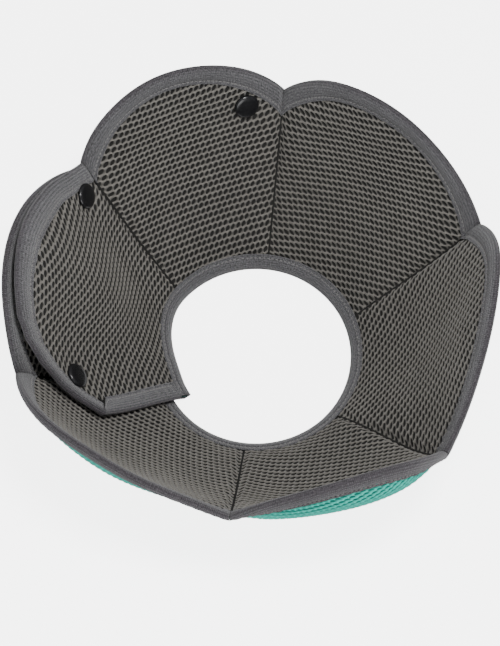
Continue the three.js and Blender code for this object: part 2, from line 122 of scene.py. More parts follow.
# The six seams: azimuth in degrees, flare as a share of SEAM_FLARE, and the lean at the notch
SEAMS = (
    (139.6, 0.93, 38),
    (83.1, 1.03, 38),
    (20.8, 1.0, 34),
    (-40.9, 1.01, 14),
    (-96.3, 0.885, 26),
    (-162.4, 1.04, 36),
)

# The petal after each seam: lean in which its tip rises and in which its rim ends, and its tip's skew
ARCS = ((24, 12, -0.04), (17, 10, -0.03), (20, 22, -0.07), (17, -22, -0.04), (34, 2, 0.09), (22, 10, -0.03))

# The strip's petals: name, stretch of the strip, and whether its start or its end is free
PETALS = (
    ("lap", LAP_END, 0, True, False),
    ("top_left", 0, 1, False, False),
    ("top_right", 1, 2, False, False),
    ("right", 2, 3, False, False),
    ("lower_right", 3, 4, False, False),
    ("lower_left", 4, 5, False, False),
    ("under", 5, UNDER_END, False, True),
)

# Rim of the lap, from its seam to its free end: place, and slant as a share of SEAM_SLANT
LAP_RIM = (
    (0, 1.0), (0.12, 1.1), (0.25, 1.2), (0.5, 1.32),
    (0.75, 1.3), (0.95, 1.13), (1.1, 0.92), (1.24, 0.72),
)

# Snaps: place along the strip, slant as a share of SEAM_SLANT, the petal of the cap and of the back plate
SNAPS = (
    (0.832, 0.975, "top_left", "top_left"),
    (-0.1, 0.93, "lap", "under"),
    (-1.03, 0.81, "lap", "lower_left"),
)

UP = np.array([0.0, 0.0, 1.0])
RING = len(SEAMS)
HALF_EDGE_WALL = LAYER_GAP / 2 + EDGE_THICK
HALF_FULL_WALL = LAYER_GAP / 2 + PANEL_THICK
TAPE_INSIDE = HALF_EDGE_WALL + PIECE_GAP
TAPE_OUTSIDE = TAPE_INSIDE + TAPE_THICK
HEM_SIN = math.sin(math.radians(HEM_LEAN))
HEM_COS = math.cos(math.radians(HEM_LEAN))
HEM_HEIGHT = TAPE_INSIDE * HEM_SIN + TAPE_THICK
OVERLAP_STEP = 2 * HALF_FULL_WALL + OVERLAP_GAP
FLAT_RADIUS = NECK_RADIUS / HEM_SIN  # of the hem, when the cone is unrolled flat


# Camera

CAMERA_TILT = math.radians(24)  # of the view from straight down
CAMERA_DISTANCE = 1.5
CAMERA_LENS = 119.5
TARGET_HEIGHT = 0.097
IMAGE_HEIGHT = 646
TARGET_RIGHT = 6 / IMAGE_HEIGHT  # place of the target in the frame, off its middle
TARGET_UP = 21 / IMAGE_HEIGHT


def add_camera():
    data = bpy.data.cameras.new("camera")
    data.lens = CAMERA_LENS
    data.sensor_width = 36
    data.shift_x = -TARGET_RIGHT
    data.shift_y = -TARGET_UP
    camera = bpy.data.objects.new("camera", data)
    bpy.context.scene.collection.objects.link(camera)
    target = Vector((-CENTRE[0] * MM, -CENTRE[1] * MM, TARGET_HEIGHT))
    back = Vector((0, -math.sin(CAMERA_TILT), math.cos(CAMERA_TILT)))
    camera.location = target + back * CAMERA_DISTANCE
    camera.rotation_euler = back.to_track_quat("Z", "Y").to_euler()
    bpy.context.scene.camera = camera


add_camera()


# Surface of the wall

def smooth(share):
    s = np.clip(share, 0, 1)
    return s * s * (3 - 2 * s)


def lerp(a, b, share):
    return a + (b - a) * share


def radial(degrees):
    angle = np.radians(degrees)
    return np.stack([np.cos(angle), np.sin(angle), np.zeros_like(angle)], -1)


def leaning(degrees, outward):
    angle = np.radians(np.asarray(degrees, float))[..., None]
    return outward * np.sin(angle) + UP * np.cos(angle)


def length(vectors):
    return np.linalg.norm(vectors, axis=-1)


def unit(vectors):
    return vectors / length(vectors)[..., None]


def seam_azimuth(index):
    return np.array([row[0] for row in SEAMS])[index % RING] - 360.0 * (index // RING)


def notch_point(index):
    azimuth, flare, _ = SEAMS[index % RING]
    outward = radial(np.array(float(azimuth)))
    return outward * NECK_RADIUS + UP * HEM_HEIGHT + leaning(flare * SEAM_FLARE, outward) * SEAM_SLANT


NOTCHES = np.array([notch_point(i) for i in range(RING)])
NOTCH_LEANS = np.array([row[2] for row in SEAMS], float)
CHORDS = length(np.roll(NOTCHES, -1, axis=0) - NOTCHES)
ARC_LEANS = np.array([row[1] for row in ARCS], float)
ARC_SKEWS = np.array([row[2] for row in ARCS], float)
MIDDLE_AZIMUTHS = np.array([(seam_azimuth(i) + seam_azimuth(i + 1)) / 2 for i in range(RING)])
TIPWARD = leaning([row[0] for row in ARCS], radial(MIDDLE_AZIMUTHS))


def arc_height(place, chord):
    half = chord / 2
    radius = (half * half + PETAL_RISE * PETAL_RISE) / (2 * PETAL_RISE)
    across = (2 * place - 1) * half
    return np.sqrt(radius * radius - across * across) - (radius - PETAL_RISE)


def wall_curve(along):
    """The curve of the wall from the hem to the rim, at each place along the strip."""
    along = np.asarray(along, float)
    index = np.floor(along).astype(int)
    place = along - index
    row, after = index % RING, (index + 1) % RING
    outward = radial(lerp(seam_azimuth(index), seam_azimuth(index + 1), place))
    height = arc_height(place - ARC_SKEWS[row] * np.sin(np.pi * place), CHORDS[row])
    rim = lerp(NOTCHES[row], NOTCHES[after], place[..., None]) + TIPWARD[row] * height[..., None]
    hem = outward * NECK_RADIUS + UP * HEM_HEIGHT
    upward = leaning(HEM_LEAN, outward)
    first = hem + upward * HEM_RUN
    reach = length(rim - first)
    lean = lerp(NOTCH_LEANS[row], NOTCH_LEANS[after], place)
    lean = lerp(lean, ARC_LEANS[row], height / PETAL_RISE)
    second = first + upward * (0.35 * reach)[..., None]
    third = rim - leaning(lean, outward) * (0.4 * reach)[..., None]
    polygon = length(second - first) + length(third - second) + length(rim - third)
    return outward, hem, upward, (first, second, third, rim), lean, HEM_RUN + (reach + polygon) / 2


def spline(rows, count):
    """Points of a uniform Catmull-Rom curve through the rows of a table."""
    points = np.array(rows, float)
    padded = np.vstack([points[:1], points, points[-1:]])
    t = np.linspace(0, len(points) - 1, count)
    i = np.minimum(t.astype(int), len(points) - 2)
    w = (t - i)[:, None]
    p0, p1, p2, p3 = padded[i], padded[i + 1], padded[i + 2], padded[i + 3]
    v0, v1 = (p2 - p0) / 2, (p3 - p1) / 2
    return (2 * p1 - 2 * p2 + v0 + v1) * w ** 3 + (-3 * p1 + 3 * p2 - 2 * v0 - v1) * w ** 2 + v0 * w + p1


LAP_CURVE = spline(LAP_RIM, 400)


def lap_rim(along):
    return SEAM_SLANT * np.interp(-along, LAP_CURVE[:, 0], LAP_CURVE[:, 1])


def overlap_shift(along, slant, rim_lean):
    lean = lerp(HEM_LEAN, rim_lean, np.clip((slant - HEM_RUN) / SEAM_SLANT, 0, 1))
    step = OVERLAP_STEP / np.cos(np.radians(lean))
    lift = LAP_LIFT * smooth((-along - 0.45) / 0.7) * np.clip(slant / SEAM_SLANT, 0, 1)
    rise = slant / lap_rim(along)
    across = np.sin(np.pi * np.clip(-along, 0, 1))
    bow = LAP_BOW * across * across * smooth(1.6 * rise) * (1 - rise ** LAP_CURL)
    return np.where(along > RING - 1, step * smooth(along - RING + 1), -step * smooth(-along) - lift - bow)


def ring_point(along, slant):
    outward, hem, upward, corners, lean, total = wall_curve(along)
    t = (np.maximum(slant - HEM_RUN, 0) / (total - HEM_RUN))[..., None]
    s = 1 - t
    first, second, third, rim = corners
    bent = first * s ** 3 + second * 3 * s * s * t + third * 3 * s * t * t + rim * t ** 3
    straight = hem + upward * slant[..., None]
    point = np.where((slant <= HEM_RUN)[..., None], straight, bent)
    return point, outward, lean


def sheet(along, slant):
    """Middle of the wall."""
    along, slant = np.broadcast_arrays(np.asarray(along, float), np.asarray(slant, float))
    point, outward, lean = ring_point(along, slant)
    soft = LAP_SOFTNESS * smooth((-along - 0.6) / 0.3) * np.clip(slant / SEAM_SLANT, 0, 1)
    if np.any(soft > 0):
        point = point * 3 / 9
        for shift, weight in ((-1, 1), (-0.5, 2), (0.5, 2), (1, 1)):
            point = point + ring_point(along + shift * soft, slant)[0] * weight / 9
    return point + outward * overlap_shift(along, slant, lean)[..., None]


def slope_along(along, slant):
    return (sheet(along + PROBE_ALONG, slant) - sheet(along - PROBE_ALONG, slant)) / (2 * PROBE_ALONG)


def slope_up(along, slant):
    return (sheet(along, slant + PROBE_LENGTH) - sheet(along, slant - PROBE_LENGTH)) / (2 * PROBE_LENGTH)


def normal(along, slant):
    return unit(np.cross(slope_up(along, slant), slope_along(along, slant)))


def rim_slant(along):
    along = np.asarray(along, float)
    past = along - RING
    whole = wall_curve(along)[5] - SEAM_SLANT * UNDER_FALL * UNDER_RUN * smooth(1 + past / 0.6)
    under = SEAM_SLANT * (1 - UNDER_FALL * (past + UNDER_RUN))
    return np.where(along < 0, lap_rim(along), np.where(past > 0, under, whole))


def rim_stretch(petal, along):
    """How far to go down the wall for one millimetre square to the rim."""
    _, start, end, _, _ = petal
    step = PROBE_ALONG / 3
    before, after = np.maximum(along - step, start), np.minimum(along + step, end)
    tangent = unit(sheet(after, rim_slant(after)) - sheet(before, rim_slant(before)))
    down = unit(slope_up(along, rim_slant(along)))
    return np.minimum(1 / length(np.cross(down, tangent)), MITRE_LIMIT)


def drape(along, slant):
    """Slow waves of the cloth, the same for both of its faces and for overlapping petals."""
    index = np.floor(along).astype(int)
    azimuth = np.radians(lerp(seam_azimuth(index), seam_azimuth(index + 1), along - index))
    rise = smooth((slant - HEM_TAPE_WIDTH) / 60)
    wide = np.sin(5 * azimuth + slant / 27) + 0.6 * np.sin(11 * azimuth - slant / 19 + 1.3)
    return 0.7 * rise * wide


def wall_point(along, slant, depth):
    """Point of the collar, in the part's own frame, at a depth outwards from the middle of the wall."""
    along, slant = np.broadcast_arrays(np.asarray(along, float), np.asarray(slant, float))
    out = (depth + drape(along, slant))[..., None]
    return sheet(along, slant) + normal(along, slant) * out - CENTRE


def bulge(share):
    s = np.clip(share, 0, 1)
    return 0.5 * smooth(s) + 0.5 * np.sqrt(1 - (1 - s) ** 2)


def end_distance(along, slant, end):
    return np.abs(along - end) * length(slope_along(end, slant))


def padding(petal, along, slant):
    """Thickness of a padded face where no snap presses it."""
    _, start, end, free_start, free_end = petal
    rim_away = (rim_slant(along) - slant) / rim_stretch(petal, along) - RIM_TAPE_WIDTH
    hem_away = slant - HEM_TAPE_WIDTH
    puff = bulge(rim_away / PUFF_RUN) * bulge(hem_away / PUFF_RUN)
    pucker = 0
    valley = 0
    for edge, is_free, phase in ((start, free_start, 0.4), (end, free_end, 2.1)):
        away = end_distance(along, slant, edge)
        if is_free:
            puff = puff * bulge((away - RIM_TAPE_WIDTH) / PUFF_RUN)
            continue
        puff = puff * bulge(away / SEAM_RUN)
        valley = valley + VALLEY_DEPTH * np.exp(-(away / VALLEY_RUN) ** 2)
        wave = np.sin(slant / 1.9 + phase) + 0.6 * np.sin(slant / 1.13 + 2 * phase)
        pucker = pucker + PUCKER * wave * np.exp(-away / 6) * np.clip(away / 1.5, 0, 1)
    arc = along * 150
    gather = RIM_GATHER * np.sin(arc / 1.7 + 3 * np.sin(arc / 23)) * np.exp(-np.abs(rim_away) / 5)
    tuck = TUCK * np.exp(-(rim_away / 1.6) ** 2)
    return lerp(EDGE_THICK, PANEL_THICK, puff) + pucker + gather - valley - tuck


def face_depth(petal, side, along, slant):
    """Distance of a padded face from the middle of the wall, with a level seat pressed in for each snap."""
    along, slant = np.broadcast_arrays(np.asarray(along, float), np.asarray(slant, float))
    thick = padding(petal, along, slant)
    for place, share, cap_petal, back_petal in SNAPS:
        if petal[0] != (cap_petal if side < 0 else back_petal):
            continue
        centre = place + (0 if petal[1] <= place <= petal[2] else RING), share * SEAM_SLANT
        away = np.hypot((along - centre[0]) * length(slope_along(*centre)), slant - centre[1])
        seat = padding(petal, np.array(centre[0]), np.array(centre[1])) - DENT_DEPTH
        thick = np.minimum(thick, lerp(seat, thick, smooth((away - CAP_RADIUS) / DENT_RUN)))
    return LAYER_GAP / 2 + np.maximum(thick, 0.5)


# Meshes

def make_piece(name, points, faces, uvs, materials, slots=None):
    """Mesh object from points in millimetres; uvs are for each point."""
    mesh = bpy.data.meshes.new(name)
    mesh.from_pydata((points * MM).tolist(), [], faces)
    for material in materials:
        mesh.materials.append(material)
    if slots is not None:
        mesh.polygons.foreach_set("material_index", np.asarray(slots, np.int32))
    layer = mesh.uv_layers.new(name="UVMap")
    corners = np.empty(len(mesh.loops), np.int32)
    mesh.loops.foreach_get("vertex_index", corners)
    layer.data.foreach_set("uv", np.asarray(uvs, np.float32)[corners].ravel())
    mesh.polygons.foreach_set("use_smooth", np.ones(len(mesh.polygons), bool))
    mesh.validate()
    piece = bpy.data.objects.new(name, mesh)
    bpy.context.scene.collection.objects.link(piece)
    return piece


def join(parts):
    """One set of points, faces, uvs and slots from several."""
    points, faces, uvs, slots = [], [], [], []
    base = 0
    for part_points, part_faces, part_uvs, slot in parts:
        points.append(part_points)
        uvs.append(part_uvs)
        faces += [tuple(int(i) + base for i in face) for face in part_faces]
        slots += [slot] * len(part_faces) if isinstance(slot, int) else list(slot)
        base += len(part_points)
    return np.vstack(points), faces, np.vstack(uvs), slots


def grid_faces(columns, rows, flip):
    i, j = np.meshgrid(np.arange(columns - 1), np.arange(rows - 1), indexing="ij")
    a = (i * rows + j).ravel()
    quads = np.stack([a, a + rows, a + rows + 1, a + 1], -1)
    return quads[:, ::-1] if flip else quads


def pad_slab(petal, side):
    """Closed pad under the air mesh."""
    _, start, end, _, _ = petal
    columns, rows = 34, 34
    share = np.linspace(0, 1, columns)
    share = share - 0.07 * np.sin(2 * np.pi * share)
    along = lerp(start, end, share)[:, None]
    slant = rim_slant(along) * np.linspace(0, 1, rows)[None, :]
    along = np.broadcast_to(along, slant.shape)
    depth = np.maximum(face_depth(petal, side, along, slant) - MESH_DEPTH, LAYER_GAP / 2 + 0.15)
    top = wall_point(along, slant, side * depth).reshape(-1, 3)
    bottom = wall_point(along, slant, side * LAYER_GAP / 2).reshape(-1, 3)
    flip = side < 0
    faces = [tuple(f) for f in grid_faces(columns, rows, not flip)]
    count = columns * rows
    faces += [tuple(int(i) + count for i in f) for f in grid_faces(columns, rows, flip)]
    edge = [i * rows for i in range(columns)] + [(columns - 1) * rows + j for j in range(1, rows)]
    edge += [i * rows + rows - 1 for i in range(columns - 2, -1, -1)] + list(range(rows - 2, 0, -1))
    for a, b in zip(edge, edge[1:] + edge[:1]):
        faces.append((a, b, b + count, a + count) if flip else (b, a, a + count, b + count))
    flat = np.stack([along * 15, slant / 10], -1).reshape(-1, 2)
    return np.vstack([top, bottom]), faces, np.vstack([flat, flat]), 1


def cell_shape(splits, way):
    """Points round a cell's outline and as many round its hole, as shares of the cell's two sides."""
    corners = np.array([(-0.5, -0.5), (0.5, -0.5), (0.5, 0.5), (-0.5, 0.5)])
    sides = np.roll(corners, -1, axis=0) - corners
    outline = (corners[:, None] + sides[:, None] * (np.arange(splits) / splits)[None, :, None]).reshape(-1, 2)
    cubes = (np.abs(outline) ** 3).sum(1)[:, None]
    hole = np.array([HOLE_LONG, HOLE_HIGH]) * outline / cubes ** (1 / 3)
    leading = hole.sum(1)[:, None] / 2
    crossing = (hole[:, :1] - hole[:, 1:]) / 2
    hole = leading * HOLE_STRETCH ** way + crossing * np.array([1, -1]) / HOLE_STRETCH ** way
    return outline, hole


def air_mesh(petal, side, splits, seed):
    """Net of strands laid on the pad, with one cell round each of its holes."""
    name, start, end, free_start, free_end = petal
    draws = np.random.default_rng(seed)
    middle = (start + end) / 2
    heights = np.linspace(0, 220, 111)
    widths = length(slope_along(np.full_like(heights, middle), heights))
    degrees, way = GRAIN[name]
    grain = math.radians(degrees)
    turn = np.array([[math.cos(grain), math.sin(grain)], [-math.sin(grain), math.cos(grain)]])
    cell = np.array([[CELL_LONG, 0], [CELL_SLIP, CELL_HIGH]]) @ turn
    steps = np.arange(-60, 61)
    centres = np.stack(np.meshgrid(steps, steps), -1).reshape(-1, 2) @ cell + np.array([0, NET_HEIGHT])

    def local_width(slant):
        return np.interp(slant, heights, widths)

    def place(flat):
        """Place and slant on the strip of points of the cloth, unrolled flat."""
        across, up = flat[:, 0], flat[:, 1] + FLAT_RADIUS
        radius = np.hypot(across, up)
        slant = radius - FLAT_RADIUS
        return middle + np.arctan2(across, up) * radius / local_width(slant), slant

    along, slant = place(centres)
    under_tape = RIM_TAPE_WIDTH - SPREAD_UNDER_TAPE
    low = start + (under_tape if free_start else -CELL_HIGH) / local_width(slant)
    high = end - (under_tape if free_end else -CELL_HIGH) / local_width(slant)
    inside = (along > low) & (along < high) & (slant > HEM_TAPE_WIDTH - SPREAD_UNDER_TAPE)
    clipped = np.clip(along, start, end)
    reach = rim_slant(clipped) - under_tape * rim_stretch(petal, clipped)
    centres = centres[inside & (slant < reach)]
    outline, hole = cell_shape(splits, way)
    count, ring = len(centres), len(outline)
    size = draws.uniform(0.93, 1.07, (count, 1, 1))
    wander = draws.uniform(-0.03, 0.03, (count, 1, 2))
    outer = (centres[:, None] + (outline @ cell)[None]).reshape(-1, 2)
    crest = [KNOT_RISE] + [ROW_RISE] * (splits - 1) + [KNOT_RISE] + [CROSS_RISE] * (splits - 1)
    crest = np.tile(crest, 2 * count)
    corners = np.round(outer * 50).astype(int)
    _, first, shared = np.unique(corners, axis=0, return_index=True, return_inverse=True)
    outer, crest = outer[first], crest[first]
    holes = []
    for shrink in (1, 0.86):
        holes.append((centres[:, None] + (hole[None] * size * shrink + wander) @ cell).reshape(-1, 2))
    flat = np.vstack([outer, *holes])
    rim, floor = np.full(count * ring, -HOLE_SINK), np.full(count * ring, -MESH_DEPTH - 0.1)
    rise = np.concatenate([crest, rim, floor])
    loose, height = place(flat)
    margin = NET_GAP / 2 / local_width(height)
    strip = np.clip(loose, start + (0 if free_start else margin), end - (0 if free_end else margin))
    depth = np.maximum(face_depth(petal, side, strip, height) + rise, LAYER_GAP / 2 + 0.1)
    points = wall_point(strip, height, side * depth)
    edge = np.asarray(shared).reshape(count, ring)
    top = len(outer) + np.arange(count * ring).reshape(count, ring)
    beyond = strip != loose
    parts = []
    # The strands' tops take the first material; the holes' walls take the pad's dark one, as painted shade
    # inside the holes.
    for slot, (a, b) in enumerate(((edge, top), (top, top + count * ring))):
        quads = np.stack([a, np.roll(a, -1, 1), np.roll(b, -1, 1), b], -1).reshape(-1, 4)
        quads = quads[~beyond[quads].all(1)]
        parts.append((quads if side < 0 else quads[:, ::-1], slot))
    faces = np.vstack([quads for quads, _ in parts])
    slots = np.concatenate([np.full(len(quads), slot) for quads, slot in parts])
    return points, faces, (flat - np.array([0, NET_HEIGHT])) @ np.linalg.inv(cell), slots


def tape_outline():
    """Section of the tape: x goes from the rim into the panel, y across the wall."""
    nose = -PIECE_GAP - 0.8 * TAPE_THICK
    shoulder = 0.33 * RIM_TAPE_WIDTH
    inside = HALF_EDGE_WALL + 0.08
    stitch = RIM_TAPE_WIDTH - STITCH_INSET
    half = [
        (RIM_TAPE_WIDTH, inside), (RIM_TAPE_WIDTH + 0.05, inside + 0.35),
        (RIM_TAPE_WIDTH - 0.15, inside + 0.7),
        (RIM_TAPE_WIDTH - 0.6, inside + 0.85), (RIM_TAPE_WIDTH - 1.6, inside + 0.9),
        (stitch + 1.0, inside + 0.85), (stitch, inside + 0.15), (stitch - 1.0, inside + 0.95),
    ]
    for share in (0.25, 0.5, 0.75):
        x = lerp(stitch - 1.0, shoulder, share)
        half.append((x, lerp(inside + 0.95, TAPE_ROLL, math.sin(share * math.pi / 2))))
    for turn in np.radians(np.arange(90, 0, -15)):
        x = shoulder - (shoulder - nose) * math.cos(turn)
        half.append((x, TAPE_ROLL * math.sin(turn) ** 0.9))
    half.append((nose, 0.0))
    mirrored = [(x, -y) for x, y in reversed(half[:-1])]
    back = [(-PIECE_GAP / 2, -inside), (-PIECE_GAP / 2, inside)]
    return np.array(half + mirrored + back)


def tape_stations(petal):
    """Stations along a petal's tape: place, slant, way into the panel, and how much of the width fits."""
    _, start, end, free_start, free_end = petal
    low = start if free_start else start + 0.0008
    high = end if free_end else end - 0.0008
    along = np.linspace(low, high, 130)
    along = along - 0.1 * (high - low) / (2 * np.pi) * np.sin(2 * np.pi * (along - low) / (high - low))
    slant = rim_slant(along)
    into = np.stack([np.zeros_like(along), -rim_stretch(petal, along)], -1)
    fits = np.ones_like(along)
    if free_start or free_end:
        edge = start if free_start else end
        away = length(sheet(along, slant) - sheet(edge, rim_slant(edge)))
        fits = np.clip(away / RIM_TAPE_WIDTH, 0.02, 1)
    path = np.column_stack([along, slant, into, fits])
    if not (free_start or free_end):
        return path
    corner = float(rim_slant(edge))
    down = np.linspace(corner - 0.1, HEM_TAPE_WIDTH + PIECE_GAP, 90)
    wide = length(slope_along(np.full_like(down, edge), down))
    inward = (1 if free_start else -1) / wide
    fits = np.clip((corner - down) / RIM_TAPE_WIDTH, 0.02, 1)
    side = np.column_stack([np.full_like(down, edge), down, inward, np.zeros_like(down), fits])
    return np.vstack([side[::-1], path]) if free_start else np.vstack([path, side])


def section_sweep(rings, loop_uv):
    """Closed bar from rings of points, with flat ends."""
    stations, count, _ = rings.shape
    i, j = np.meshgrid(np.arange(stations - 1), np.arange(count), indexing="ij")
    a, b = i * count + j, i * count + (j + 1) % count
    faces = [tuple(f) for f in np.stack([a, b, b + count, a + count], -1).reshape(-1, 4)]
    faces.append(tuple(range(count - 1, -1, -1)))
    faces.append(tuple(range((stations - 1) * count, stations * count)))
    return rings.reshape(-1, 3), faces, loop_uv.reshape(-1, 2), 0


def tape_ring_points(path, x, y):
    """Points of the tape at each station for section coordinates x and y, which may vary by station."""
    along, slant, into_along, into_slant, fits = path.T
    reach = np.where(x > 0, x * fits[:, None], x)
    places = along[:, None] + reach * into_along[:, None]
    slants = slant[:, None] + reach * into_slant[:, None]
    return wall_point(places, slants, y)


def run_lengths(points):
    return np.concatenate([[0], np.cumsum(length(np.diff(points, axis=0)))])


def gathers(run, x, seed):
    """Small wrinkles across the tape, stronger beside the notches."""
    ends = np.minimum(run, run[-1] - run)
    strength = 0.07 + 0.75 * np.exp(-ends / 11) + 0.11 * (1 + np.sin(run / 17 + seed))
    wave = np.sin(run / 1.35 + 2.2 * np.sin(run / 11 + seed))
    wave = (wave + 0.4 * np.sin(run / 0.6 + 3 * np.sin(run / 7 + seed))) * strength
    return wave[:, None] * np.clip(x[None, :] / RIM_TAPE_WIDTH, 0, 1)


def stitch(start, end, lift):
    """One stitch of thread, from where it leaves the cloth to where it goes back."""
    sides = 5
    shares = np.array([0, 0.15, 0.5, 0.85, 1])
    heights = np.array([-0.35, 0.0, 0.22, 0.0, -0.35])
    widths = np.array([0.4, 0.9, 1.0, 0.9, 0.4])
    axis = unit(end - start)
    across = unit(np.cross(axis, lift))
    turns = np.arange(sides) * 2 * np.pi / sides
    circle = across * np.cos(turns)[:, None] + lift * np.sin(turns)[:, None]
    middle = start + (end - start) * shares[:, None] + lift * heights[:, None]
    rings = middle[:, None] + circle[None] * (STITCH_RADIUS * widths)[:, None, None]
    uv = np.broadcast_to(shares[:, None, None] * 0.3, (len(shares), sides, 2))
    return section_sweep(rings, uv)


def stitch_row(line, normals):
    """Stitches along a line of points on the cloth."""
    run = run_lengths(line)
    parts = []
    for at in np.arange(STITCH_PITCH, run[-1] - STITCH_PITCH, STITCH_PITCH):
        ends = [np.array([np.interp(at + d, run, line[:, k]) for k in range(3)]) for d in (0, STITCH_LENGTH)]
        lift = unit(np.array([np.interp(at + STITCH_LENGTH / 2, run, normals[:, k]) for k in range(3)]))
        points, faces, uvs, _ = stitch(ends[0], ends[1], lift)
        parts.append((points, faces, uvs, 1))
    return parts


def rim_tape(petal, seed):
    path = tape_stations(petal)
    outline = tape_outline()
    x, y = outline[:, 0], outline[:, 1]
    middle = wall_point(path[:, 0], path[:, 1], np.zeros(len(path)))
    run = run_lengths(middle)
    outside = np.where(np.abs(y) > HALF_EDGE_WALL + 0.3, np.sign(y), 0)
    depth = y[None, :] + gathers(run, x, seed) * outside[None, :]
    rings = tape_ring_points(path, np.broadcast_to(x, depth.shape), depth)
    girth = np.concatenate([[0], np.cumsum(np.hypot(np.diff(x), np.diff(y)))])
    girth = girth - girth[np.argmin(x)]
    uv = np.stack(np.broadcast_arrays(run[:, None] / 10, girth[None, :] / 10), -1)
    parts = [section_sweep(rings, uv)]
    inset = np.full((len(path), 1), RIM_TAPE_WIDTH - STITCH_INSET)
    for side in (-1, 1):
        at = side * (HALF_EDGE_WALL + 0.08 + 0.5)
        line = tape_ring_points(path, inset, np.full((len(path), 1), at))[:, 0]
        above = tape_ring_points(path, inset, np.full((len(path), 1), at + side))[:, 0]
        parts += stitch_row(line, above - line)
    return join(parts)


def hem_tape():
    """The hem's tape, pressed flat where it rests."""
    along = np.linspace(LAP_END, UNDER_END, 460)
    inside = HALF_EDGE_WALL + 0.08
    # Section: slant from the hem, and depth outwards
    rows = [
        (HEM_TAPE_WIDTH, inside), (HEM_TAPE_WIDTH, inside + 0.5), (HEM_TAPE_WIDTH - 0.3, inside + 1.0),
        (HEM_TAPE_WIDTH - 1.0, inside + 1.05), (HEM_TAPE_WIDTH - STITCH_INSET, inside + 0.72),
        (HEM_TAPE_WIDTH - 3.6, inside + 1.1), (5.0, TAPE_OUTSIDE + 0.1), (3.4, TAPE_OUTSIDE + 0.1),
    ]

    def place(slant, depth):
        return NECK_RADIUS + slant * HEM_SIN + depth * HEM_COS, HEM_HEIGHT + slant * HEM_COS - depth * HEM_SIN

    outer = [place(s, d) for s, d in rows]
    inner = [place(s, -d) for s, d in reversed(rows)]
    foot = NECK_RADIUS
    sole = [(foot + TAPE_OUTSIDE * 0.95, 0.35), (foot + 0.8 * TAPE_OUTSIDE, 0.0),
            (foot - 0.75 * TAPE_OUTSIDE, 0.0), (foot - TAPE_OUTSIDE, 0.4), place(0.6, -TAPE_OUTSIDE - 0.1)]
    lining = [place(PIECE_GAP, -inside), place(PIECE_GAP, inside)]
    section = np.array(outer + sole + inner + lining)
    outward, _, _, _, lean, _ = wall_curve(along)
    shift = overlap_shift(along, np.zeros_like(along), lean)
    rings = outward[:, None] * (section[None, :, 0, None] + shift[:, None, None])
    rings = rings + UP * section[None, :, 1, None] - CENTRE
    run = run_lengths(rings[:, 0])
    girth = np.concatenate([[0], np.cumsum(length(np.diff(section, axis=0)))])
    girth = girth - girth[np.argmin(section[:, 1])]
    uv = np.stack(np.broadcast_arrays(run[:, None] / 10, girth[None, :] / 10), -1)
    parts = [section_sweep(rings, uv)]
    for side in (-1, 1):
        at = HALF_EDGE_WALL + 0.86
        ends = [place(HEM_TAPE_WIDTH - STITCH_INSET, side * depth) for depth in (at, at + 1)]
        lines = [outward * (r + shift)[:, None] + UP * h - CENTRE for r, h in ends]
        parts += stitch_row(lines[0], lines[1] - lines[0])
    return join(parts)


def turned(profile, origin, axis):
    """Round solid about an axis; the profile gives radius and height."""
    axis = unit(axis)
    side = unit(np.cross(axis, UP))
    other = np.cross(axis, side)
    turns = np.arange(SNAP_SIDES) * 2 * np.pi / SNAP_SIDES
    circle = side * np.cos(turns)[:, None] + other * np.sin(turns)[:, None]
    radius, height = np.array(profile, float).T
    rings = origin + circle[None] * radius[:, None, None] + axis * height[:, None, None]
    uv = np.stack(np.broadcast_arrays(radius[:, None] / 10, turns[None, :]), -1)
    return section_sweep(rings, uv)


def snap_piece(row, is_cap):
    place, share, cap_petal, back_petal = row
    side = -1 if is_cap else 1
    petal = next(p for p in PETALS if p[0] == (cap_petal if is_cap else back_petal))
    slant = share * SEAM_SLANT
    turn = 0 if petal[1] <= place <= petal[2] else RING
    place = place + turn
    seat = float(face_depth(petal, side, np.array(place), np.array(slant))) + KNOT_RISE
    direction = normal(np.array(place), np.array(slant)) * side
    origin = wall_point(np.array(place), np.array(slant), np.array(side * seat))
    if is_cap:
        shares = [(0.92, -0.07), (0.97, 0.02), (1, 0.16), (0.995, 0.38), (0.965, 0.58), (0.9, 0.76),
                  (0.8, 0.86), (0.62, 0.9), (0.4, 0.92), (0.2, 0.93), (0.03, 0.935)]
        profile = [(POST_RADIUS, -seat), (POST_RADIUS, -0.2)]
        profile += [(radius * CAP_RADIUS, height * CAP_HEIGHT) for radius, height in shares]
    else:
        shares = [(0.4, -0.17), (0.95, -0.11), (1, 0.06), (1, 0.39), (0.93, 0.67), (0.8, 0.8), (0.7, 0.83),
                  (0.65, 0.67), (0.43, 0.64), (0.37, 1), (0.04, 1)]
        profile = [(radius * BACK_RADIUS, height * BACK_HEIGHT) for radius, height in shares]
    return turned(profile, origin, direction)


# Materials

def socket(group, name, way, kind="NodeSocketFloat"):
    return group.interface.new_socket(name=name, in_out=way, socket_type=kind)


def node(tree, kind, **values):
    made = tree.nodes.new(kind)
    for key, value in values.items():
        if key in made.inputs:
            made.inputs[key].default_value = value
        else:
            setattr(made, key, value)
    return made


def math_node(tree, operation, a, b=None):
    made = node(tree, "ShaderNodeMath", operation=operation)
    for slot, value in enumerate((a, b)):
        if value is None:
            continue
        if isinstance(value, (int, float)):
            made.inputs[slot].default_value = value
        else:
            tree.links.new(value, made.inputs[slot])
    return made.outputs[0]


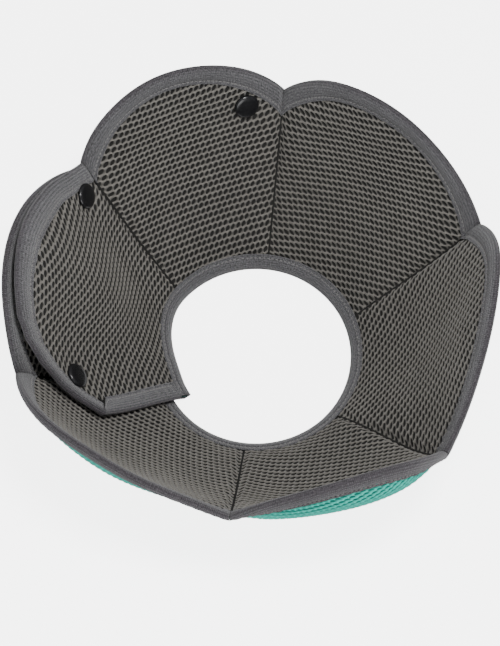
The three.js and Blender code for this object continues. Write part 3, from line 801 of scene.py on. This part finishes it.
def fibre_group():
    """Masks of a spun fabric: fine fibres, and slow uneven shade."""
    group = bpy.data.node_groups.new("fibres", "ShaderNodeTree")
    socket(group, "Vector", "INPUT", "NodeSocketVector")
    socket(group, "Fibre", "OUTPUT")
    socket(group, "Shade", "OUTPUT")
    inputs = group.nodes.new("NodeGroupInput")
    outputs = group.nodes.new("NodeGroupOutput")
    stretch = node(group, "ShaderNodeMapping")
    stretch.inputs["Scale"].default_value = (9, 26, 1)
    stretch.inputs["Rotation"].default_value = (0, 0, 0.6)
    fine = node(group, "ShaderNodeTexNoise", Scale=1.4, Detail=3.0, Roughness=0.65)
    slow = node(group, "ShaderNodeTexNoise", Scale=0.35, Detail=2.0)
    group.links.new(inputs.outputs["Vector"], stretch.inputs["Vector"])
    group.links.new(stretch.outputs[0], fine.inputs["Vector"])
    group.links.new(inputs.outputs["Vector"], slow.inputs["Vector"])
    group.links.new(fine.outputs[0], outputs.inputs["Fibre"])
    group.links.new(slow.outputs[0], outputs.inputs["Shade"])
    return group


def rib_group():
    """Height of a woven tape: fine ribs along it, crossed by its weft."""
    group = bpy.data.node_groups.new("ribs", "ShaderNodeTree")
    socket(group, "Vector", "INPUT", "NodeSocketVector")
    socket(group, "Height", "OUTPUT")
    inputs = group.nodes.new("NodeGroupInput")
    outputs = group.nodes.new("NodeGroupOutput")
    waves = []
    for direction, scale in (("X", 2.3), ("Y", 1.7)):
        wave = node(group, "ShaderNodeTexWave", wave_type="BANDS", bands_direction=direction, Scale=scale)
        wave.inputs["Distortion"].default_value = 0.6
        wave.inputs["Detail Scale"].default_value = 2.0
        group.links.new(inputs.outputs["Vector"], wave.inputs["Vector"])
        waves.append(wave.outputs["Fac"])
    group.links.new(math_node(group, "MULTIPLY", waves[0], waves[1]), outputs.inputs["Height"])
    return group


def net_shade_group():
    """Painted shade on an air mesh's strands: darker where they dip from row to row, a little darker along
    the rows, and full colour at the raised knots; the vector counts cells.
    """
    group = bpy.data.node_groups.new("net_shade", "ShaderNodeTree")
    socket(group, "Vector", "INPUT", "NodeSocketVector")
    socket(group, "Shade", "OUTPUT")
    inputs = group.nodes.new("NodeGroupInput")
    outputs = group.nodes.new("NodeGroupOutput")
    parts = node(group, "ShaderNodeSeparateXYZ")
    group.links.new(inputs.outputs["Vector"], parts.inputs[0])
    shade = 0.58
    for part, weight in zip(parts.outputs, (0.1, 0.32)):
        wave = math_node(group, "COSINE", math_node(group, "MULTIPLY", part, 2 * math.pi))
        shade = math_node(group, "SUBTRACT", shade, math_node(group, "MULTIPLY", wave, weight))
    group.links.new(shade, outputs.inputs["Shade"])
    return group


def new_material(name):
    material = bpy.data.materials.new(name)
    material.use_nodes = True
    tree = material.node_tree
    shader = next(n for n in tree.nodes if n.type == "BSDF_PRINCIPLED")
    coordinates = node(tree, "ShaderNodeTexCoord")
    return material, tree, shader, coordinates.outputs["UV"]


def colour_ramp(tree, factor, low, high, start=0.3, end=0.7):
    ramp = node(tree, "ShaderNodeValToRGB")
    ramp.color_ramp.elements[0].position = start
    ramp.color_ramp.elements[1].position = end
    ramp.color_ramp.elements[0].color = (*low, 1)
    ramp.color_ramp.elements[1].color = (*high, 1)
    tree.links.new(factor, ramp.inputs["Fac"])
    return ramp.outputs["Color"]


def mixed(tree, blend, factor, a, b):
    mix = node(tree, "ShaderNodeMix", data_type="RGBA", blend_type=blend)
    mix.inputs[0].default_value = factor
    tree.links.new(a, mix.inputs[6])
    tree.links.new(b, mix.inputs[7])
    return mix.outputs[2]


def bump(tree, shader, height, distance, strength):
    made = node(tree, "ShaderNodeBump")
    made.inputs["Distance"].default_value = distance
    made.inputs["Strength"].default_value = strength
    tree.links.new(height, made.inputs["Height"])
    tree.links.new(made.outputs["Normal"], shader.inputs["Normal"])


FIBRES = fibre_group()
RIBS = rib_group()
NET_SHADE = net_shade_group()


def with_fibres(tree, vector):
    made = node(tree, "ShaderNodeGroup")
    made.node_tree = FIBRES
    tree.links.new(vector, made.inputs["Vector"])
    return made.outputs["Fibre"], made.outputs["Shade"]


def cloth_material(name, dark, light, uneven, sheen, is_net=False):
    """Spun yarn with fibres of two shades; on a net, with painted shade where its strands dip between rows.
    """
    material, tree, shader, vector = new_material(name)
    size = node(tree, "ShaderNodeMapping")
    size.inputs["Scale"].default_value = (CELL_LONG / 10, CELL_HIGH / 10, 1) if is_net else (1, 1, 1)
    tree.links.new(vector, size.inputs["Vector"])
    fibre, shade = with_fibres(tree, size.outputs[0])
    yarn = colour_ramp(tree, fibre, dark, light)
    slow = colour_ramp(tree, shade, (1 - uneven,) * 3, (1, 1, 1))
    colour = mixed(tree, "MULTIPLY", 1.0, yarn, slow)
    if is_net:
        # Painted shade: the strands darken where they dip between rows and keep full colour at the knots.
        net_shade = node(tree, "ShaderNodeGroup")
        net_shade.node_tree = NET_SHADE
        tree.links.new(vector, net_shade.inputs["Vector"])
        depth = colour_ramp(tree, net_shade.outputs["Shade"], (0, 0, 0), (1, 1, 1), 0.0, 1.0)
        colour = mixed(tree, "MULTIPLY", 1.0, colour, depth)
    tree.links.new(colour, shader.inputs["Base Color"])
    shader.inputs["Roughness"].default_value = 0.82
    shader.inputs["Sheen Weight"].default_value = sheen
    shader.inputs["Specular IOR Level"].default_value = 0.3
    bump(tree, shader, fibre, 0.00025, 0.6)
    return material


def tape_material():
    material, tree, shader, vector = new_material("woven_tape")
    fibre, shade = with_fibres(tree, vector)
    ribs = node(tree, "ShaderNodeGroup")
    ribs.node_tree = RIBS
    tree.links.new(vector, ribs.inputs["Vector"])
    heather = node(tree, "ShaderNodeTexNoise", Scale=8.0, Detail=3.0, Roughness=0.7)
    tree.links.new(vector, heather.inputs["Vector"])
    yarn = colour_ramp(tree, heather.outputs[0], (0.042, 0.041, 0.044), (0.215, 0.21, 0.22), 0.36, 0.64)
    slow = colour_ramp(tree, shade, (0.82, 0.82, 0.82), (1, 1, 1))
    # Painted shade in the grooves between the tape's ribs.
    groove_shade = colour_ramp(tree, ribs.outputs["Height"], (0.6, 0.6, 0.6), (1, 1, 1), 0.0, 0.5)
    colour = mixed(tree, "MULTIPLY", 1.0, mixed(tree, "MULTIPLY", 1.0, yarn, slow), groove_shade)
    # Painted shade: each tape is darker, with a faint purple cast, on its outer side up to its nose or its
    # foot on the floor, fading out a few millimetres past it.
    parts = node(tree, "ShaderNodeSeparateXYZ")
    tree.links.new(vector, parts.inputs[0])
    outer_side_shade = colour_ramp(tree, parts.outputs["Y"], (0.5, 0.45, 0.49), (1, 1, 1), 0.05, 0.45)
    colour = mixed(tree, "MULTIPLY", 1.0, colour, outer_side_shade)
    tree.links.new(colour, shader.inputs["Base Color"])
    shader.inputs["Roughness"].default_value = 0.78
    shader.inputs["Sheen Weight"].default_value = 0.25
    shader.inputs["Specular IOR Level"].default_value = 0.3
    bump(tree, shader, math_node(tree, "ADD", ribs.outputs["Height"], fibre), 0.0005, 0.8)
    return material


def plastic_material():
    material, tree, shader, vector = new_material("black_plastic")
    shader.inputs["IOR"].default_value = 1.5
    cloud = node(tree, "ShaderNodeTexNoise", Scale=3.0, Detail=4.0)
    tree.links.new(vector, cloud.inputs["Vector"])
    rough = colour_ramp(tree, cloud.outputs[0], (0.16,) * 3, (0.26,) * 3)
    tree.links.new(rough, shader.inputs["Roughness"])
    colour = colour_ramp(tree, cloud.outputs[0], (0.006, 0.006, 0.007), (0.011, 0.011, 0.012))
    tree.links.new(colour, shader.inputs["Base Color"])
    return material


def floor_material():
    material, tree, shader, vector = new_material("pale_floor")
    cloud = node(tree, "ShaderNodeTexNoise", Scale=4.0, Detail=2.0)
    tree.links.new(vector, cloud.inputs["Vector"])
    colour = colour_ramp(tree, cloud.outputs[0], (0.91, 0.91, 0.91), (0.93, 0.93, 0.93))
    tree.links.new(colour, shader.inputs["Base Color"])
    shader.inputs["Roughness"].default_value = 0.9
    shader.inputs["Emission Color"].default_value = (1, 1, 1, 1)
    seen = node(tree, "ShaderNodeLightPath").outputs["Is Camera Ray"]
    tree.links.new(math_node(tree, "MULTIPLY", seen, 4.5), shader.inputs["Emission Strength"])
    return material


INNER_STRAND = cloth_material("inner_strand", (0.095, 0.089, 0.078), (0.30, 0.283, 0.255), 0.12, 0.2, True)
# The pads' near-black and dark teal are painted shade deep in the holes of the net.
INNER_PAD = cloth_material("inner_pad", (0.009, 0.009, 0.0085), (0.022, 0.021, 0.019), 0.2, 0.0)
OUTER_STRAND = cloth_material("outer_strand", (0.02, 0.52, 0.40), (0.07, 0.82, 0.66), 0.12, 0.1, True)
OUTER_PAD = cloth_material("outer_pad", (0.008, 0.20, 0.155), (0.016, 0.30, 0.235), 0.2, 0.0)
TAPE = tape_material()
THREAD = cloth_material("thread", (0.16, 0.155, 0.15), (0.34, 0.33, 0.32), 0.1, 0.2)
PLASTIC = plastic_material()


# Pieces

def keep(piece, nodes):
    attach(piece, "root")
    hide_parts(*nodes)


# Side of the wall, its name, points along each side of a cell of its net, and its two materials
FACES = (
    (-1, "inner", 3, INNER_STRAND, INNER_PAD),
    (1, "outer", 2, OUTER_STRAND, OUTER_PAD),
)

for number, petal in enumerate(PETALS):
    name = petal[0]
    for side, word, splits, strand, pad in FACES:
        parts = [air_mesh(petal, side, splits, 40 + number), pad_slab(petal, side)]
        points, faces, uvs, slots = join(parts)
        piece = make_piece(f"{word}_face_{name}", points, faces, uvs, [strand, pad], slots)
        keep(piece, [f"{word}_panel_{name}"])
    points, faces, uvs, slots = rim_tape(petal, number)
    piece = make_piece(f"rim_tape_{name}", points, faces, uvs, [TAPE, THREAD], slots)
    keep(piece, [f"rim_binding_{name}"])

points, faces, uvs, slots = hem_tape()
piece = make_piece("neck_tape", points, faces, uvs, [TAPE, THREAD], slots)
keep(piece, ["neck_binding"])

for number, row in enumerate(SNAPS, 1):
    for word, is_cap in (("cap", True), ("back", False)):
        points, faces, uvs, _ = snap_piece(row, is_cap)
        piece = make_piece(f"press_{word}_{number}", points, faces, uvs, [PLASTIC])
        keep(piece, [f"snap_{word}_{number}"])


# Floor and light

def add_floor():
    bpy.ops.mesh.primitive_plane_add(size=6, location=(0, 0, 0))
    floor = bpy.context.object
    floor.name = "floor"
    floor.data.materials.append(floor_material())


def add_light(name, place, size, power, aim=(0, 0, 0.06)):
    data = bpy.data.lights.new(name, "AREA")
    data.size = size
    data.energy = power
    light = bpy.data.objects.new(name, data)
    bpy.context.scene.collection.objects.link(light)
    light.location = place
    light.rotation_euler = (Vector(place) - Vector(aim)).to_track_quat("Z", "Y").to_euler()


add_floor()
add_light("key", (0.25, -0.15, 1.6), 0.3, 23)
add_light("fill", (-0.9, 0.6, 1.2), 1.2, 3)
add_light("front", (0.2, -1.4, 0.7), 0.9, 11)
world = bpy.data.worlds.new("studio")
world.use_nodes = True
world.node_tree.nodes["Background"].inputs["Color"].default_value = (0.95, 0.97, 1.0, 1)
world.node_tree.nodes["Background"].inputs["Strength"].default_value = 0.36
bpy.context.scene.world = world
